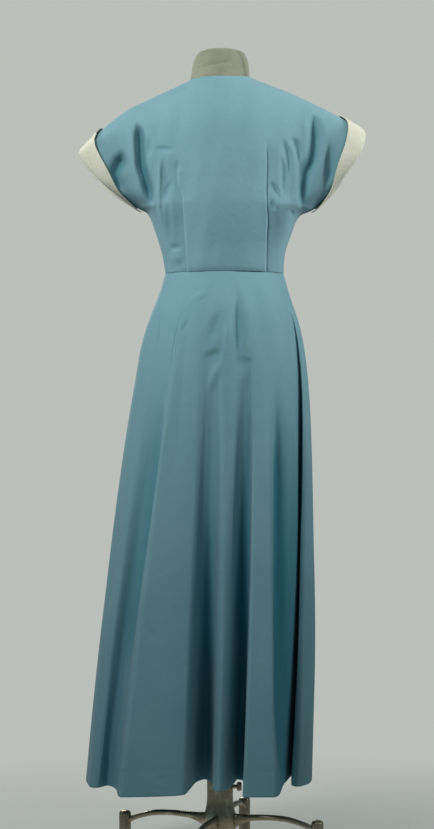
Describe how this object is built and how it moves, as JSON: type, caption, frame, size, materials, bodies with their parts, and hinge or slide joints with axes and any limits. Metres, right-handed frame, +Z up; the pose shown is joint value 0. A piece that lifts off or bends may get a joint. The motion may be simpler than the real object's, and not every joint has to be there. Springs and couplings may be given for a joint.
{
  "type": "nurse uniform dress on a dress form",
  "caption": "Floor-length cotton uniform dress with short cut-in-one sleeves, turn-back cuffs and a flared skirt, worn by a limbless dress form on an iron stand.",
  "frame": {"origin": "on the floor, under the middle of the part's outline", "axes": "+Z up, -Y the way the wearer faces, +X the wearer's left"},
  "size_m": [0.5637, 0.4144, 1.62],
  "materials": {
    "blue_cotton": "matte",
    "white_cotton": "matte",
    "form_cover": "matte",
    "button_shell": "satin",
    "stand_iron": "satin"
  },
  "bodies": {
    "stand_base": {"stand_socket": "stand_iron", "clamp_screw": "stand_iron", "stand_leg_1": "stand_iron", "stand_leg_2": "stand_iron", "stand_leg_3": "stand_iron", "stand_leg_4": "stand_iron", "stand_foot_1": "stand_iron", "stand_foot_2": "stand_iron", "stand_foot_3": "stand_iron", "stand_foot_4": "stand_iron"},
    "dressed_form": {"bodice_back": "blue_cotton", "bodice_front_left": "blue_cotton", "bodice_front_right": "blue_cotton", "skirt_back": "blue_cotton", "skirt_front": "blue_cotton", "cuff_left": "white_cotton", "cuff_right": "white_cotton", "button_1": "button_shell", "button_2": "button_shell", "button_3": "button_shell", "button_4": "button_shell", "button_5": "button_shell", "form_body": "form_cover", "form_plate": "stand_iron", "stand_pole": "stand_iron"}
  },
  "joints": [
    {"name": "form_height", "type": "slide", "parent": "stand_base", "child": "dressed_form", "axis": [0, 0, 1], "range_m": [0, 0.08]}
  ]
}
